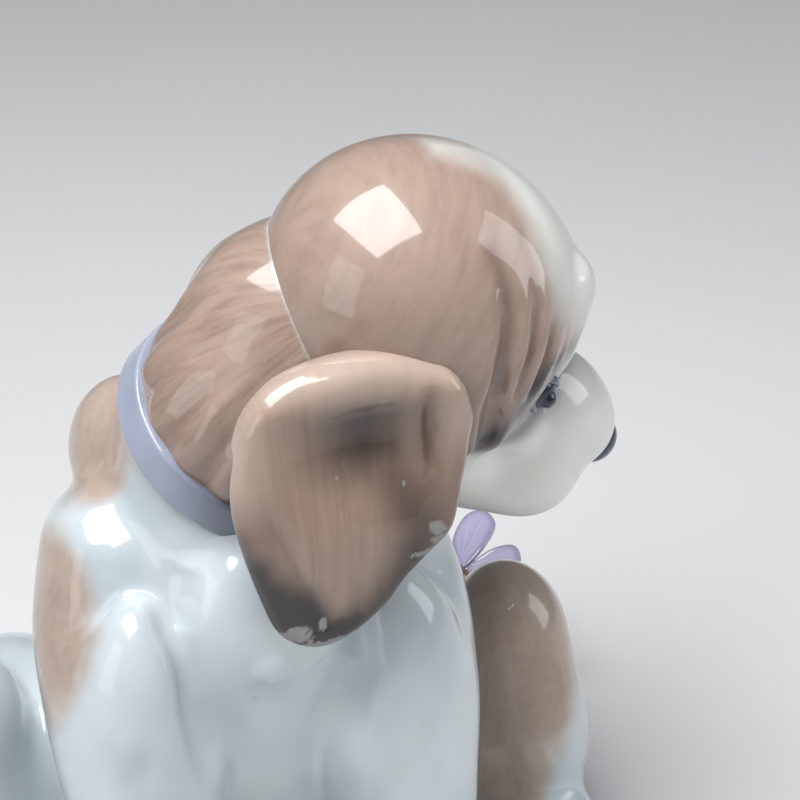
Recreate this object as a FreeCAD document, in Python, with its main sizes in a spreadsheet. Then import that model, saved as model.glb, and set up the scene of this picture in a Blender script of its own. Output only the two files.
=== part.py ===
"""Seated puppy figurine in slip-cast porcelain, as a parametric FreeCAD document, in millimetres.

The puppy sits on its rump with straight forelegs and splayed hind legs. Its head is turned over
its left shoulder, towards a butterfly that rests on the tip of its tail. It faces -Y, +Z is up,
its own left side is +X, and the origin lies in the flat foot that it stands on.

A figurine like this isn't cast in one mould. Torso, neck, head, ears, legs, tail and butterfly
are cast apart, and luted together with liquid slip before the firing. Each casting is one solid
here, cut back from its neighbour by the thickness of the slip line. Torso, neck and head are
hollow, and their cavities open into each other and, by the vent, to the outside.
"""

import FreeCAD
import Part

import math
import os

import Sketcher
from FreeCAD import Placement, Rotation, Vector

UP = Vector(0, 0, 1)

# Where an ellipsoid's seam lies, as an angle from its own x.
FRONT, BACK = 0, 180

# ---------------------------------------------------------------------------------------------
# Driving dimensions: name, value, what it is
# ---------------------------------------------------------------------------------------------

DIMENSIONS = [
    ("wall", 3.4, "thickness of the cast wall"),
    ("slip_line", 0.12, "gap that the luting slip fills between two castings"),
    ("vent_radius", 3.0, "radius of the vent in the foot"),
    ("vent_y", 20.0, "how far behind the origin the vent is"),
    ("collar_radius", 17.4, "radius of the neck under the collar"),
    ("collar_width", 5.6, "width of the collar band"),
    ("collar_thickness", 1.5, "thickness of the collar band"),
    ("collar_round", 0.55, "radius of the collar's two outer edges"),
    ("neck_base_z", 90.0, "height of the centre of the joint between torso and neck"),
    ("neck_root_depth", 3.0, "how far below that joint the torso starts to flare"),
    ("neck_root_flare", 1.3, "how much wider the torso is there"),
    ("neck_lean_left", 26.5, "lean of the neck to the puppy's left, in degrees"),
    ("neck_lean_front", 28.0, "lean of the neck to the front, in degrees"),
    ("nape_x", 10.5, "centre of the nape, to the left"),
    ("nape_y", 0.0, "centre of the nape, front to back"),
    ("nape_z", 105.0, "height of the centre of the nape"),
    ("nape_radius", 18.4, "radius of the nape"),
    ("nape_seat", 11.5, "how far the neck goes on past the nape, to seat the head"),
    ("head_opening_radius", 7.0, "radius of the opening between head and neck"),
    ("head_x", 30.0, "centre of the cranium, to the left"),
    ("head_y", -4.0, "centre of the cranium, front to back"),
    ("head_z", 112.0, "height of the centre of the cranium"),
    ("head_turn", 5.0, "heading of the nose from +X towards +Y, in degrees"),
    ("head_nod", 33.0, "how far the nose points below the horizontal, in degrees"),
    ("ear_length", 49.0, "length of an ear from its fold to its tip"),
    ("ear_thickness", 1.7, "half thickness of an ear"),
    ("right_ear_flare", 10.0, "how far the right ear stands off the head, in degrees"),
    ("left_ear_flare", 16.0, "the same for the left ear, which lies over the shoulder"),
    ("tail_root_radius", 7.0, "radius of the tail where it leaves the rump"),
    ("tail_tip_radius", 3.4, "radius of the tail near its tip"),
    ("tail_tuft_radius", 4.0, "radius of the rounded tuft at the tip"),
    ("wing_thickness", 0.9, "thickness of a butterfly's wing"),
    ("wing_spread", 38.0, "angle of a wing from upright, in degrees"),
    ("insect_rise", 4.9, "height of the butterfly's body over the end of the tail's centreline"),
    ("insect_turn", 20.0, "heading of the butterfly from +Y, in degrees"),
    ("feeler_radius", 0.35, "radius of a butterfly's feeler"),
    ("feeler_length", 5.5, "length of a butterfly's feeler"),
]

# Sections of the torso: name, height, centre front to back, half width, half depth, share of the
# neck's lean.
TORSO_SECTIONS = [
    ("foot", 0.0, 17.0, 35.0, 31.0, 0.0),
    ("seat", 6.0, 17.5, 40.0, 35.0, 0.0),
    ("rump", 20.0, 16.0, 40.0, 36.0, 0.0),
    ("loin", 36.0, 8.0, 33.5, 33.0, 0.0),
    ("waist", 52.0, 2.5, 30.0, 29.0, 0.1),
    ("chest", 64.0, 0.0, 29.5, 26.5, 0.25),
    ("shoulders", 76.5, 0.5, 26.0, 22.5, 0.75),
]

# Level sections of a foreleg: name, height, centre to the side, centre front to back, half
# depth, half width.
FORELEG_SECTIONS = [
    ("pastern", 4.0, 22.0, -36.0, 9.2, 8.6),
    ("wrist", 16.0, 23.0, -33.0, 8.8, 8.2),
    ("forearm", 32.0, 25.0, -26.0, 10.2, 8.8),
    ("elbow", 48.0, 26.5, -16.0, 13.0, 9.8),
    ("upper_arm", 61.0, 26.5, -7.0, 13.6, 9.6),
    ("shoulder", 72.0, 23.0, 0.0, 10.5, 8.0),
]

# Ellipsoids that end a foreleg: name, centre, half axes.
FORELEG_ENDS = [
    ("paw", (22.0, -40.5, 5.0), (9.6, 13.5, 8.6)),
    ("shoulder_cap", (22.5, 0.5, 70.5), (8.6, 11.0, 7.5)),
]

# Sections across a hanging ear: name, how far down as a share of its length, how far back, how
# far out from the side of the head, half breadth, share of the full half thickness.
EAR_SECTIONS = [
    ("root", 0.00, 0.0, 1.0, 11.0, 1.6),
    ("fold", 0.07, -1.0, 5.0, 14.5, 1.5),
    ("broad", 0.30, -3.0, 6.5, 17.8, 1.0),
    ("middle", 0.55, -5.0, 5.5, 17.0, 1.0),
    ("low", 0.80, -7.5, 4.0, 12.5, 0.9),
    ("tip", 1.00, -10.5, 3.0, 5.0, 0.6),
]

# Where each ear is rooted, in the head's frame.
EAR_ROOTS = {"right_ear": (-16.0, -17.5, -3.5), "left_ear": (-9.0, 20.5, -3.5)}

# The tail's centreline from rump to tip: to the left, behind the origin, height, share of the
# way from the root radius to the tip radius.
TAIL_STATIONS = [
    (6.0, 49.0, 12.0, 0.0),
    (18.0, 56.5, 9.6, 0.15),
    (31.0, 58.0, 7.6, 0.4),
    (42.0, 54.5, 8.6, 0.6),
    (49.0, 48.5, 12.6, 0.8),
    (51.0, 43.5, 18.5, 1.0),
]

# Sections across the head, in its own frame: x to the nose, y to the left, z to the crown.
# name, how far to the nose, height of the centre, half width, half height.
HEAD_SECTIONS = [
    ("back", -26.0, 0.0, 6.2, 6.3),
    ("occiput", -21.5, 0.0, 14.9, 15.0),
    ("ears", -12.0, -0.2, 22.1, 22.2),
    ("crown", 0.0, -0.6, 25.0, 25.1),
    ("temples", 10.0, -1.4, 23.6, 24.0),
    ("brow", 18.0, -4.9, 19.8, 22.0),
    ("stop", 24.5, -9.9, 15.2, 18.6),
    ("bridge", 30.5, -13.0, 11.8, 15.8),
    ("whiskers", 37.0, -13.4, 10.6, 12.8),
    ("lips", 43.0, -12.6, 7.8, 8.0),
    ("nose", 47.0, -9.8, 4.0, 4.2),
]

# The direction of the neck at the nape, where it meets the back of the head.
NAPE_LEAN = Vector(0.72, -0.12, 0.68)

# Ellipsoids of a hind leg, on the left: name, centre, half axes, turn outwards in degrees.
HIND_LEG_LOBES = [
    ("thigh", (39.0, 18.0, 17.0), (17.0, 27.0, 19.0), 8.0),
    ("knee", (48.5, 4.0, 35.0), (11.0, 13.0, 15.0), 0.0),
    ("shank", (51.0, -2.0, 19.0), (11.0, 14.0, 18.0), 0.0),
    ("paw", (51.5, -16.0, 6.0), (10.0, 19.0, 8.0), 18.0),
]

# Ellipsoids that stand out of the torso as shoulder blades: name, centre, half axes, side of the
# seam.
SHOULDER_BLADES = [
    ("right_blade", (-15.5, 15.5, 76.0), (11.0, 11.0, 13.5), FRONT),
    ("left_blade", (14.5, 10.0, 71.5), (10.5, 10.0, 12.0), BACK),
]

# Circles along the butterfly's body, from the end of its abdomen to its head: place along its
# own y, radius.
INSECT_STATIONS = [(-8.6, 0.35), (-7.0, 0.95), (-4.5, 1.2), (-2.4, 0.95), (-1.2, 1.3), (0.4, 1.5),
                   (1.9, 1.25), (2.7, 0.9), (3.6, 1.2), (4.5, 0.55)]

# Outlines of the wings on the right, from the hinge round to the hinge again, and the hinge.
FORE_WING = [(0, 2.6), (3.0, 7.6), (8.6, 10.4), (12.0, 8.4), (11.0, 3.4), (5.6, 0.6), (0, 0.1)]
HIND_WING = [(0, -0.7), (6.0, -0.9), (9.8, -4.0), (8.2, -8.2), (4.2, -9.4), (1.0, -4.8)]
WING_HINGE = Vector(1.45, 0, 0.75)

# Where a feeler starts on the butterfly's head, and its direction, on the right.
FEELER_START = (0.45, 4.75, 1.25)
FEELER_WAY = (0.5, 1.0, 0.75)

# The block that takes off whatever reaches under the foot.
GROUND_SIDE = 300.0
GROUND_DEPTH = 40.0

document = FreeCAD.newDocument("seated_puppy")
sheet = document.addObject("Spreadsheet::Sheet", "dimensions")
row_count = 0


def add_cell(alias, value, note=""):
    """Puts one driving dimension into the spreadsheet, under its alias."""
    global row_count
    row_count += 1
    sheet.set(f"A{row_count}", alias)
    sheet.set(f"B{row_count}", str(value))
    sheet.setAlias(f"B{row_count}", alias)
    sheet.set(f"C{row_count}", note)


def fill_sheet():
    """Writes every driving dimension, and a cell for each size of each section."""
    for alias, value, note in DIMENSIONS:
        add_cell(alias, value, note)
    for name, height, centre, half_width, half_depth, _ in TORSO_SECTIONS:
        add_cell(f"torso_{name}_z", height, "height of the section")
        add_cell(f"torso_{name}_y", centre, "its centre, front to back")
        add_cell(f"torso_{name}_width", half_width, "its half width")
        add_cell(f"torso_{name}_depth", half_depth, "its half depth")
    for name, height, side, centre, half_depth, half_width in FORELEG_SECTIONS:
        add_cell(f"foreleg_{name}_z", height, "height of the section")
        add_cell(f"foreleg_{name}_x", side, "its centre, to the side")
        add_cell(f"foreleg_{name}_y", centre, "its centre, front to back")
        add_cell(f"foreleg_{name}_depth", half_depth, "its half depth")
        add_cell(f"foreleg_{name}_width", half_width, "its half width")
    for name, along, height, half_width, half_height in HEAD_SECTIONS:
        add_cell(f"head_{name}_x", along, "place of the section, towards the nose")
        add_cell(f"head_{name}_z", height, "height of its centre")
        add_cell(f"head_{name}_width", half_width, "its half width")
        add_cell(f"head_{name}_height", half_height, "its half height")
    for name, down, back, out, half_breadth, thickness_share in EAR_SECTIONS:
        add_cell(f"ear_{name}_down", down, "share of the ear's length")
        add_cell(f"ear_{name}_back", back, "how far back")
        add_cell(f"ear_{name}_out", out, "how far out from the head")
        add_cell(f"ear_{name}_breadth", half_breadth, "its half breadth")
        add_cell(f"ear_{name}_share", thickness_share, "share of the half thickness")
    document.recompute()


def value_of(alias):
    """The number in a cell of the spreadsheet."""
    return float(sheet.get(alias))


# ---------------------------------------------------------------------------------------------
# Short forms for the document's objects
# ---------------------------------------------------------------------------------------------


def bind(thing, **expressions):
    """Binds properties to expressions; a double underscore in a name stands for a dot."""
    for name, expression in expressions.items():
        thing.setExpression(name.replace("__", "."), str(expression))
    return thing


def feature(kind, name, **properties):
    """A new object of the document with its properties set."""
    thing = document.addObject(kind, name)
    for key, value in properties.items():
        setattr(thing, key, value)
    return thing


def ellipse(name, major, minor, placement, moves):
    """An ellipse bound to cells; moves are the expressions of its centre, along x, y and z."""
    outline = feature("Part::Ellipse", name, Placement=placement)
    bind(outline, MajorRadius=major, MinorRadius=minor)
    for axis, move in zip("xyz", moves):
        if move:
            outline.setExpression(f"Placement.Base.{axis}", move)
    return outline


def circle(name, radius, placement):
    """A circle round the placement's z, its radius bound to a cell."""
    return bind(feature("Part::Circle", name, Placement=placement), Radius=radius)


def loft(name, sections):
    """A solid through closed sections."""
    return feature("Part::Loft", name, Sections=sections, Solid=True, Ruled=False)


def ellipsoid(name, centre, half_axes, growth="", turn=0.0, seam=BACK):
    """An ellipsoid with half axes along x, y and z, turned about z.

    Its surface closes in a seam from pole to pole, on the side that seam names. The side is one
    where the seam stays clear of the edges that fusing and cutting make.
    """
    lobe = feature("Part::Ellipsoid", name, Angle1=-90, Angle2=90, Angle3=360)
    lobe.Placement = Placement(Vector(*centre), Rotation(UP, turn + seam))
    along, across, upright = (f"{size}{growth}" for size in half_axes)
    return bind(lobe, Radius2=along, Radius3=across, Radius1=upright)


def fuse(name, parts):
    """The union of parts, with their own faces kept apart."""
    return feature("Part::MultiFuse", name, Shapes=parts, Refine=False)


def cut(name, base, tool):
    """Base without tool, with their own faces kept apart."""
    return feature("Part::Cut", name, Base=base, Tool=tool, Refine=False)


def mirror_left_right(name, source):
    """The mirror image of source, across the plane between the puppy's left and right."""
    return feature("Part::Mirroring", name, Source=source, Normal=Vector(1, 0, 0))


# ---------------------------------------------------------------------------------------------
# Frames
# ---------------------------------------------------------------------------------------------


def neck_lean(share=1.0):
    """The direction of the neck or, with a share below 1, of a section on the way to it."""
    left = math.radians(value_of("neck_lean_left"))
    front = math.radians(value_of("neck_lean_front"))
    axis = Vector(math.tan(left) * share, -math.tan(front) * share, 1.0)
    return axis.normalize()


def neck_frame(along=0.0):
    """The joint between torso and neck, z along the neck; along moves it up the neck."""
    axis = neck_lean()
    centre = Vector(0, 0, value_of("neck_base_z")) + axis * along
    return Placement(centre, Rotation(UP, axis))


def nape_frame(along=0.0):
    """The nape, z towards the head; along moves it that way."""
    nape = Vector(value_of("nape_x"), value_of("nape_y"), value_of("nape_z"))
    lean = Vector(NAPE_LEAN).normalize()
    return Placement(nape + lean * along, Rotation(UP, lean))


def head_frame():
    """The centre of the cranium, x to the nose, y to the puppy's left, z to the crown."""
    turn = Rotation(UP, value_of("head_turn"))
    nod = Rotation(Vector(0, 1, 0), value_of("head_nod"))
    centre = Vector(value_of("head_x"), value_of("head_y"), value_of("head_z"))
    return Placement(centre, turn * nod)


def insect_frame():
    """The middle of the butterfly's body, over the end of the tail's centreline."""
    end = Vector(*TAIL_STATIONS[-1][:3])
    centre = end + UP * value_of("insect_rise")
    return Placement(centre, Rotation(UP, value_of("insect_turn")))


# ---------------------------------------------------------------------------------------------
# Outer forms, each with a growth: "" for the form itself, or the expression of an offset
# ---------------------------------------------------------------------------------------------

INWARD = " - dimensions.wall"
CLEAR = " + dimensions.slip_line"


def torso_sections(tag, growth, rise=0.0):
    """The torso's sections from the foot to the neck; rise lifts those that lean."""
    sections = []
    for name, *_, lean_share in TORSO_SECTIONS:
        stem = f"dimensions.torso_{name}"
        lean = Placement(Vector(), Rotation(UP, neck_lean(lean_share)))
        lift = rise if lean_share else 0.0
        outline = ellipse(
            f"{tag}_{name}", f"{stem}_width{growth}", f"{stem}_depth{growth}",
            lean, (None, f"{stem}_y", f"{stem}_z + {lift}"),
        )
        sections.append(outline)
    radius = f"dimensions.collar_radius{growth}"
    root = circle(f"{tag}_neck_root", f"{radius} + dimensions.neck_root_flare",
                  neck_frame(rise - value_of("neck_root_depth")))
    return [*sections, root, circle(f"{tag}_neck_joint", radius, neck_frame(rise))]


def torso_envelope(tag, growth, rise=0.0):
    """The torso's whole outside with its shoulder blades."""
    trunk = loft(f"{tag}_trunk", torso_sections(tag, growth, rise))
    blades = [ellipsoid(f"{tag}_{name}", centre, sizes, growth, seam=seam)
              for name, centre, sizes, seam in SHOULDER_BLADES]
    return fuse(tag, [trunk, *blades])


def head_envelope(tag, growth, stretch=0.0, sections=HEAD_SECTIONS):
    """The head's outside or, with a negative growth, its cavity, in the head's own frame.

    Stretch lengthens it at the back and at the nose.
    """
    upright = Rotation(Vector(0, 0, 1), Vector(0, 1, 0), Vector(-1, 0, 0), "XYZ")
    rings = []
    for name, *_ in sections:
        stem = f"dimensions.head_{name}"
        shift = {sections[0][0]: -stretch, sections[-1][0]: stretch}.get(name, 0.0)
        rings.append(ellipse(
            f"{tag}_{name}", f"{stem}_height{growth}", f"{stem}_width{growth}",
            Placement(Vector(), upright), (f"{stem}_x + {shift}", None, f"{stem}_z"),
        ))
    return loft(tag, rings)


# ---------------------------------------------------------------------------------------------
# Castings
# ---------------------------------------------------------------------------------------------


def make_torso():
    """Hollow torso: open at the neck, flat at the foot, with the vent through the foot."""
    outside = torso_envelope("torso_outside", "")
    sections = torso_sections("torso_cavity", INWARD)
    sections[0].setExpression("Placement.Base.z", "dimensions.torso_foot_z + dimensions.wall")
    sections[1].setExpression("Placement.Base.z", "dimensions.torso_seat_z + dimensions.wall")
    mouth = circle("torso_mouth", "dimensions.collar_radius" + INWARD,
                   neck_frame(2 * value_of("wall")))
    cavity = loft("torso_cavity", [*sections, mouth])
    vent = feature("Part::Cylinder", "vent", Height=4 * value_of("wall"))
    vent.Placement = Placement(Vector(0, 0, -value_of("wall")), Rotation())
    bind(vent, Radius="dimensions.vent_radius", Placement__Base__y="dimensions.vent_y")
    hollow = cut("torso_hollow", outside, cavity)
    return cut("torso_shell", hollow, vent)


def neck_sections(tag, growth, overrun):
    """Circles along the neck; overrun lengthens it at both ends."""
    radius = f"dimensions.collar_radius{growth}"
    nape_radius = f"dimensions.nape_radius{growth}"
    seat_along = value_of("nape_seat") + overrun
    return [
        circle(f"{tag}_base", radius, neck_frame(value_of("slip_line") - overrun)),
        circle(f"{tag}_above_collar", radius, neck_frame(value_of("collar_width") + 1.0)),
        circle(f"{tag}_nape", nape_radius, nape_frame()),
        circle(f"{tag}_seat", f"{nape_radius} - 3", nape_frame(seat_along)),
    ]


def make_collar_room():
    """The ring that the neck leaves free for the collar, down to the collar's inside."""
    seat = feature("Part::Cylinder", "collar_seat", Placement=neck_frame(-1.0))
    bind(seat, Radius="dimensions.collar_radius", Height="dimensions.collar_width + 3")
    room = feature("Part::Cylinder", "collar_space", Placement=neck_frame())
    bind(room, Radius="dimensions.collar_radius + 2 * dimensions.collar_thickness",
         Height="dimensions.collar_width + 2 * dimensions.slip_line")
    return cut("collar_room", room, seat)


def make_neck(head_clearance):
    """Hollow neck with a seat for the collar, scooped at the top to take the cranium."""
    outside = loft("neck_outside", neck_sections("neck_outside", "", 0.0))
    cavity = loft("neck_cavity", neck_sections("neck_cavity", INWARD, 1.0))
    tube = cut("neck_tube", outside, cavity)
    seated = cut("neck_seated", tube, make_collar_room())
    return cut("neck_shell", seated, head_clearance)


def make_head():
    """Hollow head, open through the nape into the neck, with a solid muzzle."""
    outside = head_envelope("head_outside", "")
    cavity = head_envelope("head_cavity", INWARD, sections=HEAD_SECTIONS[1:6])
    nape = head_frame().inverse().multVec(nape_frame().Base)
    opening = feature("Part::Cylinder", "head_opening", Height=nape.Length)
    opening.Placement = Placement(Vector(), Rotation(UP, nape))
    bind(opening, Radius="dimensions.head_opening_radius")
    shell = cut("head_closed", outside, cavity)
    head = cut("head_shell", shell, opening)
    head.Placement = head_frame()
    return head


def make_ear(side, *clearances):
    """A hanging ear, cast solid, its root fitted to what it lies on.

    side is 1 for the left ear and -1 for the right one.
    """
    name = "left_ear" if side > 0 else "right_ear"
    root = head_frame().multVec(Vector(EAR_ROOTS[name]))
    sections = []
    for label, *_ in EAR_SECTIONS:
        stem = f"dimensions.ear_{label}"
        outline = ellipse(
            f"{name}_{label}", f"{stem}_breadth",
            f"dimensions.ear_thickness * {stem}_share", Placement(),
            (f"{stem}_back", f"{side} * {stem}_out", f"-dimensions.ear_length * {stem}_down"),
        )
        sections.append(outline)
    flap = loft(f"{name}_flap", sections)
    flare = Rotation(Vector(1, 0, 0), side * value_of(f"{name}_flare"))
    flap.Placement = Placement(root, Rotation(UP, value_of("head_turn")) * flare)
    for number, clearance in enumerate(clearances[:-1]):
        flap = cut(f"{name}_fitted_{number}", flap, clearance)
    return cut(name, flap, clearances[-1])


def collar_section(body):
    """The band's rectangular section in the XZ plane, its sizes bound to the spreadsheet."""
    sketch = body.newObject("Sketcher::SketchObject", "collar_section")
    plane = next(f for f in body.Origin.OriginFeatures if f.Role == "XZ_Plane")
    sketch.AttachmentSupport = [(plane, "")]
    sketch.MapMode = "FlatFace"
    inner = value_of("collar_radius")
    outer = inner + value_of("collar_thickness")
    low, high = value_of("slip_line"), value_of("collar_width")
    corners = [Vector(inner, low, 0), Vector(outer, low, 0),
               Vector(outer, high, 0), Vector(inner, high, 0)]
    for start, end in zip(corners, corners[1:] + corners[:1]):
        sketch.addGeometry(Part.LineSegment(start, end), False)
    start_point, end_point, origin = 1, 2, (-1, 1)
    for i, direction in enumerate(("Horizontal", "Vertical", "Horizontal", "Vertical")):
        following = (i + 1) % 4
        sketch.addConstraint(Sketcher.Constraint("Coincident", i, end_point, following, start_point))
        sketch.addConstraint(Sketcher.Constraint(direction, i))
    first_corner = origin + (0, start_point)
    bottom_edge = (0, start_point, 0, end_point)
    outer_edge = (1, start_point, 1, end_point)
    sizes = (
        ("DistanceX", first_corner, inner, "dimensions.collar_radius + dimensions.slip_line"),
        ("DistanceY", first_corner, low, "dimensions.slip_line"),
        ("DistanceX", bottom_edge, outer - inner, "dimensions.collar_thickness"),
        ("DistanceY", outer_edge, high - low, "dimensions.collar_width"),
    )
    for kind, where, value, expression in sizes:
        number = sketch.addConstraint(Sketcher.Constraint(kind, *where, value))
        sketch.setExpression(f"Constraints[{number}]", expression)
    return sketch


def make_collar():
    """A flat band round the neck, turned from its section, with its outer edges rounded."""
    body = document.addObject("PartDesign::Body", "collar_band")
    sketch = collar_section(body)
    turned = body.newObject("PartDesign::Revolution", "collar_turned")
    turned.Profile = sketch
    turned.ReferenceAxis = (sketch, ["V_Axis"])
    turned.Angle = 360.0
    document.recompute()
    middle = value_of("collar_radius") + value_of("collar_thickness") / 2
    outer_edges = [f"Edge{i}" for i, edge in enumerate(turned.Shape.Edges, 1)
                   if getattr(edge.Curve, "Radius", 0.0) > middle]
    rounded = body.newObject("PartDesign::Fillet", "collar_rounded")
    rounded.Base = (turned, outer_edges)
    bind(rounded, Radius="dimensions.collar_round")
    body.Placement = neck_frame()
    return body


def make_foreleg(side, ground, torso_clearance):
    """A foreleg with its paw. side is 1 for the left leg and -1 for the right one."""
    name = "left_foreleg" if side > 0 else "right_foreleg"
    lengthwise = Placement(Vector(), Rotation(UP, 90))
    sections = []
    for label, *_ in FORELEG_SECTIONS:
        stem = f"dimensions.foreleg_{label}"
        outline = ellipse(f"{name}_{label}", f"{stem}_depth", f"{stem}_width",
                          lengthwise, (f"{side} * {stem}_x", f"{stem}_y", f"{stem}_z"))
        sections.append(outline)
    column = loft(f"{name}_column", sections)
    ends = [ellipsoid(f"{name}_{label}", (side * x, y, z), sizes)
            for label, (x, y, z), sizes in FORELEG_ENDS]
    standing = cut(f"{name}_form", fuse(f"{name}_solid", [column, *ends]), ground)
    return cut(name, standing, torso_clearance)


def make_hind_leg_form(ground):
    """The left hind leg, folded as the puppy sits, before it is fitted to the torso."""
    lobes = [ellipsoid(f"hind_{name}", centre, sizes, turn=turn)
             for name, centre, sizes, turn in HIND_LEG_LOBES]
    return cut("hind_leg_form", fuse("hind_leg_solid", lobes), ground)


def make_tail(ground, torso_clearance, insect_clearance):
    """The tail, curled round the left haunch, with a rounded tip that bears the butterfly."""
    points = [Vector(*station[:3]) for station in TAIL_STATIONS]
    taper = "(dimensions.tail_tip_radius - dimensions.tail_root_radius)"
    sections = []
    for i, (_, _, _, share) in enumerate(TAIL_STATIONS):
        way = points[min(i + 1, len(points) - 1)] - points[max(i - 1, 0)]
        sections.append(circle(f"tail_{i}", f"dimensions.tail_root_radius + {taper} * {share}",
                               Placement(points[i], Rotation(UP, way))))
    tip = feature("Part::Sphere", "tail_tip", Placement=Placement(points[-1], Rotation()))
    bind(tip, Radius="dimensions.tail_tuft_radius")
    whole = fuse("tail_solid", [loft("tail_loft", sections), tip])
    rooted = cut("tail_rooted", cut("tail_standing", whole, ground), torso_clearance)
    return cut("tail", rooted, insect_clearance)


def insect_envelope(name, growth):
    """The butterfly's tapered abdomen, thorax and head."""
    rings = [circle(f"{name}_{i}", f"{radius}{growth}",
                    Placement(Vector(0, y, 0), Rotation(UP, Vector(0, 1, 0))))
             for i, (y, radius) in enumerate(INSECT_STATIONS)]
    body = loft(name, rings)
    body.Placement = insect_frame()
    return body


def make_wing(name, outline, side):
    """A thin wing with a curved outline, hinged beside the body and raised."""
    curve = Part.BSplineCurve()
    curve.interpolate([Vector(x, y, 0) for x, y in outline])
    hinge = Part.LineSegment(curve.EndPoint, curve.StartPoint)
    face = Part.Face(Part.Wire([curve.toShape(), hinge.toShape()]))
    blade = face.extrude(Vector(0, 0, -value_of("wing_thickness")))
    raised = Placement(WING_HINGE, Rotation(Vector(0, 1, 0), value_of("wing_spread") - 90))
    blade = blade.transformed(raised.toMatrix(), True)
    if side < 0:
        blade = blade.mirror(Vector(), Vector(1, 0, 0))
    wing = document.addObject("Part::Feature", name)
    wing.Shape = blade
    wing.Placement = insect_frame()
    return wing


def make_antennae():
    """Two thin feelers in front of the butterfly's head."""
    feelers = []
    for name, side in (("right_feeler", -1), ("left_feeler", 1)):
        start, way = (Vector(side * x, y, z) for x, y, z in (FEELER_START, FEELER_WAY))
        feeler = feature("Part::Cylinder", name, Placement=Placement(start, Rotation(UP, way)))
        bind(feeler, Radius="dimensions.feeler_radius", Height="dimensions.feeler_length")
        feelers.append(feeler)
    pair = feature("Part::Compound", "butterfly_antennae", Links=feelers)
    pair.Placement = insect_frame()
    return pair


def make_ground():
    """A block under the plane that the figurine stands on."""
    corner = Vector(-GROUND_SIDE / 2, -GROUND_SIDE / 2, -GROUND_DEPTH)
    return feature("Part::Box", "ground", Length=GROUND_SIDE, Width=GROUND_SIDE,
                   Height=GROUND_DEPTH, Placement=Placement(corner, Rotation()))


def make_castings():
    """Builds every casting, fitted to its neighbours, and returns name: object."""
    ground = make_ground()
    torso_clearance = torso_envelope("torso_clearance", CLEAR, value_of("slip_line"))
    head_clearance = head_envelope("head_clearance", CLEAR, value_of("slip_line"))
    head_clearance.Placement = head_frame()
    neck_clearance = loft("neck_clearance", neck_sections("neck_clearance", CLEAR, 0.0))
    insect_clearance = insect_envelope("insect_clearance", CLEAR)
    hind_leg = make_hind_leg_form(ground)
    hind_leg_mirrored = mirror_left_right("hind_leg_mirrored", hind_leg)
    castings = {
        "torso_shell": make_torso(),
        "neck_shell": make_neck(head_clearance),
        "head_shell": make_head(),
        "collar_band": make_collar(),
        "right_ear": make_ear(-1, head_clearance),
        "left_ear": make_ear(1, head_clearance, neck_clearance),
        "right_foreleg": make_foreleg(-1, ground, torso_clearance),
        "left_foreleg": make_foreleg(1, ground, torso_clearance),
        "left_hind_leg": cut("left_hind_leg", hind_leg, torso_clearance),
        "right_hind_leg": cut("right_hind_leg", hind_leg_mirrored, torso_clearance),
        "tail": make_tail(ground, torso_clearance, insect_clearance),
        "butterfly_body": insect_envelope("butterfly_body", ""),
        "butterfly_antennae": make_antennae(),
    }
    for label, outline in (("fore_wing", FORE_WING), ("hind_wing", HIND_WING)):
        for name, side in ((f"butterfly_right_{label}", 1), (f"butterfly_left_{label}", -1)):
            castings[name] = make_wing(name, outline, side)
    return castings


# ---------------------------------------------------------------------------------------------
# Checks and files
# ---------------------------------------------------------------------------------------------


def check_document():
    """Stops if any object of the document failed to compute."""
    failed = [thing.Name for thing in document.Objects
              if "Invalid" in thing.State or "Error" in thing.State]
    if failed:
        raise RuntimeError(f"these failed to compute: {failed}")


def check_castings(castings):
    """Labels each casting, and stops if its shape is null, invalid or has no solid."""
    for name, thing in castings.items():
        thing.Label = name
        shape = thing.Shape
        if shape.isNull() or not shape.isValid() or not shape.Solids:
            raise RuntimeError(f"{name} has no valid solid")


def write_castings(castings):
    """Writes each casting's shape to parts/NAME.step and prints its size."""
    os.makedirs("parts", exist_ok=True)
    for name, thing in castings.items():
        thing.Shape.exportStep(f"parts/{name}.step")
        volume = thing.Shape.Volume / 1000
        print(f"{name:28s} solids {len(thing.Shape.Solids)}  {volume:8.2f} cm3")


fill_sheet()
castings = make_castings()
document.recompute()
check_document()
check_castings(castings)
write_castings(castings)
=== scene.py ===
"""A seated porcelain puppy looking at a butterfly on its tail: skin, glaze and studio."""

import bpy
import numpy as np
from mathutils import Matrix, Vector


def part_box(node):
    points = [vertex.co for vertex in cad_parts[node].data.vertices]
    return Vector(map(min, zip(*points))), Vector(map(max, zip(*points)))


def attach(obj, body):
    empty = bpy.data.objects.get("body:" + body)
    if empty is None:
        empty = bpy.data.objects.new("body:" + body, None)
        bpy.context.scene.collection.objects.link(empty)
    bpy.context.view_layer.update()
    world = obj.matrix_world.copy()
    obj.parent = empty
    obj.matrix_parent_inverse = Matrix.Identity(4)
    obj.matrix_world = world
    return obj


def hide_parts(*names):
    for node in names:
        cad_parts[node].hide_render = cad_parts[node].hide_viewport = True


MM = 0.001


# ---------------------------------------------------------------------------------------------
# Distance fields: every form is a function of points in millimetres, negative inside
# ---------------------------------------------------------------------------------------------


def spline(at, knots, values):
    """Smooth curve through the values at the knots; points outside take the end values."""
    knots, values = np.asarray(knots, float), np.asarray(values, float)
    slopes = np.gradient(values, knots)
    at = np.clip(at, knots[0], knots[-1])
    i = np.clip(np.searchsorted(knots, at) - 1, 0, len(knots) - 2)
    span = knots[i + 1] - knots[i]
    t = (at - knots[i]) / span
    rise = t * t * (3 - 2 * t)
    leave, arrive = t * (1 - t) ** 2, -t * t * (1 - t)
    return (values[i] * (1 - rise) + values[i + 1] * rise
            + span * (leave * slopes[i] + arrive * slopes[i + 1]))


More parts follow.
